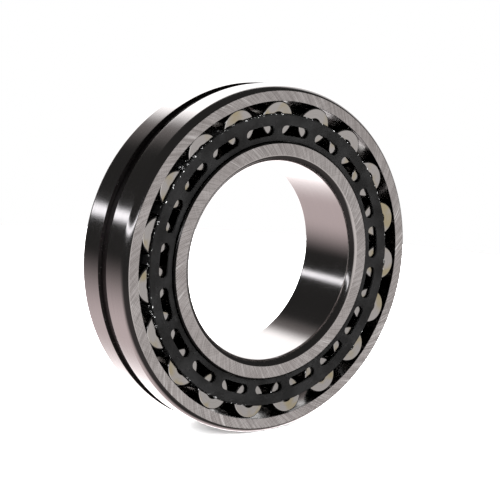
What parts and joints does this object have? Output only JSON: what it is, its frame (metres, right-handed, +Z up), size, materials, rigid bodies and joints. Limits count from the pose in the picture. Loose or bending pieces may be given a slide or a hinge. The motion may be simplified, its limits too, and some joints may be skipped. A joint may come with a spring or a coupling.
{
  "type": "spherical roller bearing",
  "caption": "Self-aligning bearing: barrel rollers in two pressed black cages between a grooved outer ring and an inner ring with a plain cylindrical bore.",
  "frame": {"origin": "centre of the bearing, where the shaft axis crosses the middle plane of the rings", "axes": "+Y along the shaft axis from the front face to the rear face, +Z up with the bearing standing on its rim"},
  "size_m": [0.14, 0.033, 0.14],
  "materials": {
    "ring_steel": "ground",
    "roller_steel": "satin ends, polished barrels",
    "cage_black": "matte black surface treatment",
    "guide_steel": "turned"
  },
  "bodies": {
    "outer_ring": {"outer_ring": "ring_steel"},
    "guide_ring": {"guide_ring": "guide_steel"},
    "inner_ring": {"inner_ring": "ring_steel"},
    "cage_front": {"cage_front": "cage_black"},
    "cage_rear": {"cage_rear": "cage_black"},
    "roller_front_01": {"roller_front_01": "roller_steel"},
    "roller_front_02": {"roller_front_02": "roller_steel"},
    "roller_front_03": {"roller_front_03": "roller_steel"},
    "roller_front_04": {"roller_front_04": "roller_steel"},
    "roller_front_05": {"roller_front_05": "roller_steel"},
    "roller_front_06": {"roller_front_06": "roller_steel"},
    "roller_front_07": {"roller_front_07": "roller_steel"},
    "roller_front_08": {"roller_front_08": "roller_steel"},
    "roller_front_09": {"roller_front_09": "roller_steel"},
    "roller_front_10": {"roller_front_10": "roller_steel"},
    "roller_front_11": {"roller_front_11": "roller_steel"},
    "roller_front_12": {"roller_front_12": "roller_steel"},
    "roller_front_13": {"roller_front_13": "roller_steel"},
    "roller_front_14": {"roller_front_14": "roller_steel"},
    "roller_front_15": {"roller_front_15": "roller_steel"},
    "roller_front_16": {"roller_front_16": "roller_steel"},
    "roller_front_17": {"roller_front_17": "roller_steel"},
    "roller_front_18": {"roller_front_18": "roller_steel"},
    "roller_front_19": {"roller_front_19": "roller_steel"},
    "roller_rear_01": {"roller_rear_01": "roller_steel"},
    "roller_rear_02": {"roller_rear_02": "roller_steel"},
    "roller_rear_03": {"roller_rear_03": "roller_steel"},
    "roller_rear_04": {"roller_rear_04": "roller_steel"},
    "roller_rear_05": {"roller_rear_05": "roller_steel"},
    "roller_rear_06": {"roller_rear_06": "roller_steel"},
    "roller_rear_07": {"roller_rear_07": "roller_steel"},
    "roller_rear_08": {"roller_rear_08": "roller_steel"},
    "roller_rear_09": {"roller_rear_09": "roller_steel"},
    "roller_rear_10": {"roller_rear_10": "roller_steel"},
    "roller_rear_11": {"roller_rear_11": "roller_steel"},
    "roller_rear_12": {"roller_rear_12": "roller_steel"},
    "roller_rear_13": {"roller_rear_13": "roller_steel"},
    "roller_rear_14": {"roller_rear_14": "roller_steel"},
    "roller_rear_15": {"roller_rear_15": "roller_steel"},
    "roller_rear_16": {"roller_rear_16": "roller_steel"},
    "roller_rear_17": {"roller_rear_17": "roller_steel"},
    "roller_rear_18": {"roller_rear_18": "roller_steel"},
    "roller_rear_19": {"roller_rear_19": "roller_steel"}
  },
  "joints": [
    {"name": "misalignment", "type": "hinge", "parent": "outer_ring", "child": "guide_ring", "pos_m": [0, 0, 0], "axis": [1, 0, 0], "range_deg": [-2, 2]},
    {"name": "inner_ring_spin", "type": "hinge", "parent": "guide_ring", "child": "inner_ring", "pos_m": [0, 0, 0], "axis": [0, 1, 0], "continuous": true},
    {"name": "cage_front_orbit", "type": "hinge", "parent": "guide_ring", "child": "cage_front", "pos_m": [0, 0, 0], "axis": [0, 1, 0], "continuous": true},
    {"name": "cage_rear_orbit", "type": "hinge", "parent": "guide_ring", "child": "cage_rear", "pos_m": [0, 0, 0], "axis": [0, 1, 0], "continuous": true},
    {"name": "roller_front_01_spin", "type": "hinge", "parent": "cage_front", "child": "roller_front_01", "pos_m": [0.05575, -0.00859, 0.0139], "axis": [0.1434, 0.989, 0.0358], "continuous": true},
    {"name": "roller_front_02_spin", "type": "hinge", "parent": "cage_front", "child": "roller_front_02", "pos_m": [0.04822, -0.00859, 0.03125], "axis": [0.124, 0.989, 0.0804], "continuous": true},
    {"name": "roller_front_03_spin", "type": "hinge", "parent": "cage_front", "child": "roller_front_03", "pos_m": [0.03546, -0.00859, 0.04522], "axis": [0.0912, 0.989, 0.1163], "continuous": true},
    {"name": "roller_front_04_spin", "type": "hinge", "parent": "cage_front", "child": "roller_front_04", "pos_m": [0.01886, -0.00859, 0.05428], "axis": [0.0485, 0.989, 0.1396], "continuous": true},
    {"name": "roller_front_05_spin", "type": "hinge", "parent": "cage_front", "child": "roller_front_05", "pos_m": [0.00021, -0.00859, 0.05746], "axis": [0.0005, 0.989, 0.1478], "continuous": true},
    {"name": "roller_front_06_spin", "type": "hinge", "parent": "cage_front", "child": "roller_front_06", "pos_m": [-0.01846, -0.00859, 0.05442], "axis": [-0.0475, 0.989, 0.14], "continuous": true},
    {"name": "roller_front_07_spin", "type": "hinge", "parent": "cage_front", "child": "roller_front_07", "pos_m": [-0.03513, -0.00859, 0.04547], "axis": [-0.0904, 0.989, 0.117], "continuous": true},
    {"name": "roller_front_08_spin", "type": "hinge", "parent": "cage_front", "child": "roller_front_08", "pos_m": [-0.04799, -0.00859, 0.03161], "axis": [-0.1234, 0.989, 0.0813], "continuous": true},
    {"name": "roller_front_09_spin", "type": "hinge", "parent": "cage_front", "child": "roller_front_09", "pos_m": [-0.05565, -0.00859, 0.01431], "axis": [-0.1432, 0.989, 0.0368], "continuous": true},
    {"name": "roller_front_10_spin", "type": "hinge", "parent": "cage_front", "child": "roller_front_10", "pos_m": [-0.05728, -0.00859, -0.00453], "axis": [-0.1473, 0.989, -0.0117], "continuous": true},
    {"name": "roller_front_11_spin", "type": "hinge", "parent": "cage_front", "child": "roller_front_11", "pos_m": [-0.05271, -0.00859, -0.02289], "axis": [-0.1356, 0.989, -0.0589], "continuous": true},
    {"name": "roller_front_12_spin", "type": "hinge", "parent": "cage_front", "child": "roller_front_12", "pos_m": [-0.04242, -0.00859, -0.03876], "axis": [-0.1091, 0.989, -0.0997], "continuous": true},
    {"name": "roller_front_13_spin", "type": "hinge", "parent": "cage_front", "child": "roller_front_13", "pos_m": [-0.02753, -0.00859, -0.05044], "axis": [-0.0708, 0.989, -0.1297], "continuous": true},
    {"name": "roller_front_14_spin", "type": "hinge", "parent": "cage_front", "child": "roller_front_14", "pos_m": [-0.00967, -0.00859, -0.05664], "axis": [-0.0249, 0.989, -0.1457], "continuous": true},
    {"name": "roller_front_15_spin", "type": "hinge", "parent": "cage_front", "child": "roller_front_15", "pos_m": [0.00925, -0.00859, -0.05671], "axis": [0.0238, 0.989, -0.1459], "continuous": true},
    {"name": "roller_front_16_spin", "type": "hinge", "parent": "cage_front", "child": "roller_front_16", "pos_m": [0.02716, -0.00859, -0.05064], "axis": [0.0699, 0.989, -0.1303], "continuous": true},
    {"name": "roller_front_17_spin", "type": "hinge", "parent": "cage_front", "child": "roller_front_17", "pos_m": [0.04213, -0.00859, -0.03907], "axis": [0.1084, 0.989, -0.1005], "continuous": true},
    {"name": "roller_front_18_spin", "type": "hinge", "parent": "cage_front", "child": "roller_front_18", "pos_m": [0.05254, -0.00859, -0.02328], "axis": [0.1351, 0.989, -0.0599], "continuous": true},
    {"name": "roller_front_19_spin", "type": "hinge", "parent": "cage_front", "child": "roller_front_19", "pos_m": [0.05725, -0.00859, -0.00496], "axis": [0.1473, 0.989, -0.0127], "continuous": true},
    {"name": "roller_rear_01_spin", "type": "hinge", "parent": "cage_rear", "child": "roller_rear_01", "pos_m": [0.05271, 0.00859, 0.02289], "axis": [-0.1356, 0.989, -0.0589], "continuous": true},
    {"name": "roller_rear_02_spin", "type": "hinge", "parent": "cage_rear", "child": "roller_rear_02", "pos_m": [0.04242, 0.00859, 0.03876], "axis": [-0.1091, 0.989, -0.0997], "continuous": true},
    {"name": "roller_rear_03_spin", "type": "hinge", "parent": "cage_rear", "child": "roller_rear_03", "pos_m": [0.02753, 0.00859, 0.05044], "axis": [-0.0708, 0.989, -0.1297], "continuous": true},
    {"name": "roller_rear_04_spin", "type": "hinge", "parent": "cage_rear", "child": "roller_rear_04", "pos_m": [0.00967, 0.00859, 0.05664], "axis": [-0.0249, 0.989, -0.1457], "continuous": true},
    {"name": "roller_rear_05_spin", "type": "hinge", "parent": "cage_rear", "child": "roller_rear_05", "pos_m": [-0.00925, 0.00859, 0.05671], "axis": [0.0238, 0.989, -0.1459], "continuous": true},
    {"name": "roller_rear_06_spin", "type": "hinge", "parent": "cage_rear", "child": "roller_rear_06", "pos_m": [-0.02716, 0.00859, 0.05064], "axis": [0.0699, 0.989, -0.1303], "continuous": true},
    {"name": "roller_rear_07_spin", "type": "hinge", "parent": "cage_rear", "child": "roller_rear_07", "pos_m": [-0.04213, 0.00859, 0.03907], "axis": [0.1084, 0.989, -0.1005], "continuous": true},
    {"name": "roller_rear_08_spin", "type": "hinge", "parent": "cage_rear", "child": "roller_rear_08", "pos_m": [-0.05254, 0.00859, 0.02328], "axis": [0.1351, 0.989, -0.0599], "continuous": true},
    {"name": "roller_rear_09_spin", "type": "hinge", "parent": "cage_rear", "child": "roller_rear_09", "pos_m": [-0.05725, 0.00859, 0.00496], "axis": [0.1473, 0.989, -0.0127], "continuous": true},
    {"name": "roller_rear_10_spin", "type": "hinge", "parent": "cage_rear", "child": "roller_rear_10", "pos_m": [-0.05575, 0.00859, -0.0139], "axis": [0.1434, 0.989, 0.0358], "continuous": true},
    {"name": "roller_rear_11_spin", "type": "hinge", "parent": "cage_rear", "child": "roller_rear_11", "pos_m": [-0.04822, 0.00859, -0.03125], "axis": [0.124, 0.989, 0.0804], "continuous": true},
    {"name": "roller_rear_12_spin", "type": "hinge", "parent": "cage_rear", "child": "roller_rear_12", "pos_m": [-0.03546, 0.00859, -0.04522], "axis": [0.0912, 0.989, 0.1163], "continuous": true},
    {"name": "roller_rear_13_spin", "type": "hinge", "parent": "cage_rear", "child": "roller_rear_13", "pos_m": [-0.01886, 0.00859, -0.05428], "axis": [0.0485, 0.989, 0.1396], "continuous": true},
    {"name": "roller_rear_14_spin", "type": "hinge", "parent": "cage_rear", "child": "roller_rear_14", "pos_m": [-0.00021, 0.00859, -0.05746], "axis": [0.0005, 0.989, 0.1478], "continuous": true},
    {"name": "roller_rear_15_spin", "type": "hinge", "parent": "cage_rear", "child": "roller_rear_15", "pos_m": [0.01846, 0.00859, -0.05442], "axis": [-0.0475, 0.989, 0.14], "continuous": true},
    {"name": "roller_rear_16_spin", "type": "hinge", "parent": "cage_rear", "child": "roller_rear_16", "pos_m": [0.03513, 0.00859, -0.04547], "axis": [-0.0904, 0.989, 0.117], "continuous": true},
    {"name": "roller_rear_17_spin", "type": "hinge", "parent": "cage_rear", "child": "roller_rear_17", "pos_m": [0.04799, 0.00859, -0.03161], "axis": [-0.1234, 0.989, 0.0813], "continuous": true},
    {"name": "roller_rear_18_spin", "type": "hinge", "parent": "cage_rear", "child": "roller_rear_18", "pos_m": [0.05565, 0.00859, -0.01431], "axis": [-0.1432, 0.989, 0.0368], "continuous": true},
    {"name": "roller_rear_19_spin", "type": "hinge", "parent": "cage_rear", "child": "roller_rear_19", "pos_m": [0.05728, 0.00859, 0.00453], "axis": [-0.1473, 0.989, -0.0117], "continuous": true}
  ],
  "couplings": [
    {"joint": "cage_front_orbit", "follows": "inner_ring_spin", "ratio": 0.43373},
    {"joint": "cage_rear_orbit", "follows": "inner_ring_spin", "ratio": 0.43373},
    {"joint": "roller_front_01_spin", "follows": "inner_ring_spin", "ratio": -3.6658},
    {"joint": "roller_front_02_spin", "follows": "inner_ring_spin", "ratio": -3.6658},
    {"joint": "roller_front_03_spin", "follows": "inner_ring_spin", "ratio": -3.6658},
    {"joint": "roller_front_04_spin", "follows": "inner_ring_spin", "ratio": -3.6658},
    {"joint": "roller_front_05_spin", "follows": "inner_ring_spin", "ratio": -3.6658},
    {"joint": "roller_front_06_spin", "follows": "inner_ring_spin", "ratio": -3.6658},
    {"joint": "roller_front_07_spin", "follows": "inner_ring_spin", "ratio": -3.6658},
    {"joint": "roller_front_08_spin", "follows": "inner_ring_spin", "ratio": -3.6658},
    {"joint": "roller_front_09_spin", "follows": "inner_ring_spin", "ratio": -3.6658},
    {"joint": "roller_front_10_spin", "follows": "inner_ring_spin", "ratio": -3.6658},
    {"joint": "roller_front_11_spin", "follows": "inner_ring_spin", "ratio": -3.6658},
    {"joint": "roller_front_12_spin", "follows": "inner_ring_spin", "ratio": -3.6658},
    {"joint": "roller_front_13_spin", "follows": "inner_ring_spin", "ratio": -3.6658},
    {"joint": "roller_front_14_spin", "follows": "inner_ring_spin", "ratio": -3.6658},
    {"joint": "roller_front_15_spin", "follows": "inner_ring_spin", "ratio": -3.6658},
    {"joint": "roller_front_16_spin", "follows": "inner_ring_spin", "ratio": -3.6658},
    {"joint": "roller_front_17_spin", "follows": "inner_ring_spin", "ratio": -3.6658},
    {"joint": "roller_front_18_spin", "follows": "inner_ring_spin", "ratio": -3.6658},
    {"joint": "roller_front_19_spin", "follows": "inner_ring_spin", "ratio": -3.6658},
    {"joint": "roller_rear_01_spin", "follows": "inner_ring_spin", "ratio": -3.6658},
    {"joint": "roller_rear_02_spin", "follows": "inner_ring_spin", "ratio": -3.6658},
    {"joint": "roller_rear_03_spin", "follows": "inner_ring_spin", "ratio": -3.6658},
    {"joint": "roller_rear_04_spin", "follows": "inner_ring_spin", "ratio": -3.6658},
    {"joint": "roller_rear_05_spin", "follows": "inner_ring_spin", "ratio": -3.6658},
    {"joint": "roller_rear_06_spin", "follows": "inner_ring_spin", "ratio": -3.6658},
    {"joint": "roller_rear_07_spin", "follows": "inner_ring_spin", "ratio": -3.6658},
    {"joint": "roller_rear_08_spin", "follows": "inner_ring_spin", "ratio": -3.6658},
    {"joint": "roller_rear_09_spin", "follows": "inner_ring_spin", "ratio": -3.6658},
    {"joint": "roller_rear_10_spin", "follows": "inner_ring_spin", "ratio": -3.6658},
    {"joint": "roller_rear_11_spin", "follows": "inner_ring_spin", "ratio": -3.6658},
    {"joint": "roller_rear_12_spin", "follows": "inner_ring_spin", "ratio": -3.6658},
    {"joint": "roller_rear_13_spin", "follows": "inner_ring_spin", "ratio": -3.6658},
    {"joint": "roller_rear_14_spin", "follows": "inner_ring_spin", "ratio": -3.6658},
    {"joint": "roller_rear_15_spin", "follows": "inner_ring_spin", "ratio": -3.6658},
    {"joint": "roller_rear_16_spin", "follows": "inner_ring_spin", "ratio": -3.6658},
    {"joint": "roller_rear_17_spin", "follows": "inner_ring_spin", "ratio": -3.6658},
    {"joint": "roller_rear_18_spin", "follows": "inner_ring_spin", "ratio": -3.6658},
    {"joint": "roller_rear_19_spin", "follows": "inner_ring_spin", "ratio": -3.6658}
  ]
}
